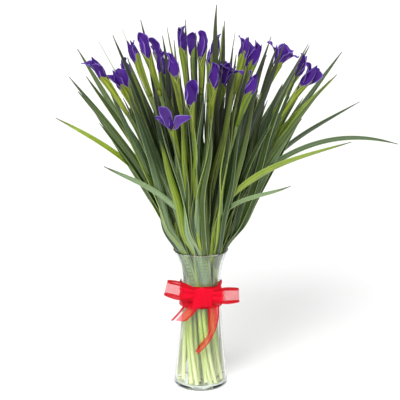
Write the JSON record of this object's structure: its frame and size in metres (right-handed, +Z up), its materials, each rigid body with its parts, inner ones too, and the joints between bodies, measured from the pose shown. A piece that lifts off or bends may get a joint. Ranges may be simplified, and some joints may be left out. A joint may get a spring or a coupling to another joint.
{
  "type": "irises in a vase",
  "caption": "Bunch of purple Dutch irises with long narrow leaves, standing in water in a waisted clear glass vase that has a red organza bow tied round its waist.",
  "frame": {"origin": "centre of the vase's flat underside", "axes": "+Z up along the vase's axis, -Y towards the front of the bow, +X to the bow's right as seen from the front"},
  "size_m": [0.5605, 0.3965, 0.6651],
  "materials": {
    "clear_glass": "clear, polished, faintly green at the foot",
    "water": "clear water",
    "leaf_green": "satin, waxy blue-green leaf and stem, paler where the stem stands in water",
    "iris_purple": "matte, velvety violet petals with paler edges",
    "ribbon_red": "sheer red organza with a woven edge"
  },
  "bodies": {
    "root": {"vase": "clear_glass", "water": "water", "iris_01_stem": "leaf_green", "iris_01_bloom": "iris_purple", "iris_02_stem": "leaf_green", "iris_02_bloom": "iris_purple", "iris_03_stem": "leaf_green", "iris_03_bloom": "iris_purple", "iris_04_stem": "leaf_green", "iris_04_bloom": "iris_purple", "iris_05_stem": "leaf_green", "iris_05_bloom": "iris_purple", "iris_06_stem": "leaf_green", "iris_06_bloom": "iris_purple", "iris_07_stem": "leaf_green", "iris_07_bloom": "iris_purple", "iris_08_stem": "leaf_green", "iris_08_bloom": "iris_purple", "iris_09_stem": "leaf_green", "iris_09_bloom": "iris_purple", "iris_10_stem": "leaf_green", "iris_10_bloom": "iris_purple", "iris_11_stem": "leaf_green", "iris_11_bloom": "iris_purple", "iris_12_stem": "leaf_green", "iris_12_bloom": "iris_purple", "iris_13_stem": "leaf_green", "iris_13_bloom": "iris_purple", "iris_14_stem": "leaf_green", "iris_14_bloom": "iris_purple", "iris_15_stem": "leaf_green", "iris_15_bloom": "iris_purple", "iris_16_stem": "leaf_green", "iris_16_bloom": "iris_purple", "iris_17_stem": "leaf_green", "iris_17_bloom": "iris_purple", "iris_18_stem": "leaf_green", "iris_18_bloom": "iris_purple", "iris_19_stem": "leaf_green", "iris_19_bloom": "iris_purple", "iris_20_stem": "leaf_green", "iris_20_bloom": "iris_purple", "iris_21_stem": "leaf_green", "iris_21_bloom": "iris_purple", "iris_22_stem": "leaf_green", "iris_22_bloom": "iris_purple", "iris_23_stem": "leaf_green", "iris_23_bloom": "iris_purple", "iris_24_stem": "leaf_green", "iris_24_bloom": "iris_purple", "ribbon_band": "ribbon_red", "ribbon_knot": "ribbon_red", "ribbon_loop_left": "ribbon_red", "ribbon_loop_right": "ribbon_red", "ribbon_tail_left": "ribbon_red", "ribbon_tail_right": "ribbon_red"}
  },
  "joints": []
}
